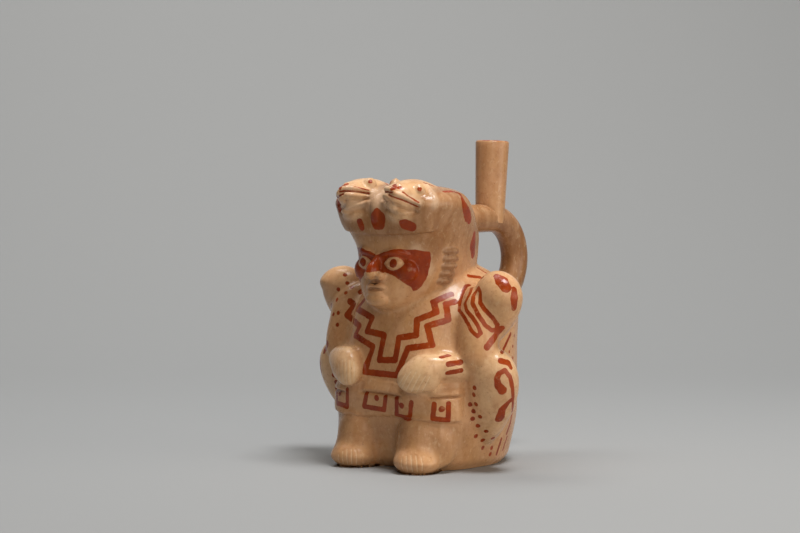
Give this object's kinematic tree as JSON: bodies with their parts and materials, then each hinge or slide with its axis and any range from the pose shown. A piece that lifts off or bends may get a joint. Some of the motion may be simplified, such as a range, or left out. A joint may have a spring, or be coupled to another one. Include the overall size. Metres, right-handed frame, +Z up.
{
  "type": "stirrup spout bottle",
  "caption": "Hollow fired-clay bottle shaped as a seated figure with a flared headdress, carried and poured by a stirrup-shaped tube handle with an upright spout behind the head.",
  "frame": {"origin": "middle of the footprint, on the surface that the bottle stands on", "axes": "+Z up, the figure faces -Y, +X is the figure's left side"},
  "size_m": [0.176, 0.1808, 0.2304],
  "materials": {
    "buff_clay": "burnished satin buff earthenware with red-brown slip painting",
    "cream_clay": "burnished satin cream slip over earthenware",
    "umber_clay": "satin brown slip over earthenware"
  },
  "bodies": {
    "root": {"base_slab": "buff_clay", "body_front_shell": "buff_clay", "body_back_shell": "buff_clay", "head_front_shell": "buff_clay", "head_back_shell": "buff_clay", "waist_band": "buff_clay", "stirrup_front_arm": "buff_clay", "stirrup_rear_arm": "buff_clay", "spout": "buff_clay", "left_animal_head": "cream_clay", "left_hair_lock": "umber_clay", "left_shoulder_boss": "cream_clay", "left_haunch_boss": "cream_clay", "left_forearm": "cream_clay", "left_upper_arm": "buff_clay", "left_foot": "cream_clay", "right_animal_head": "cream_clay", "right_hair_lock": "umber_clay", "right_shoulder_boss": "cream_clay", "right_haunch_boss": "cream_clay", "right_forearm": "cream_clay", "right_upper_arm": "buff_clay", "right_foot": "cream_clay"}
  },
  "joints": []
}
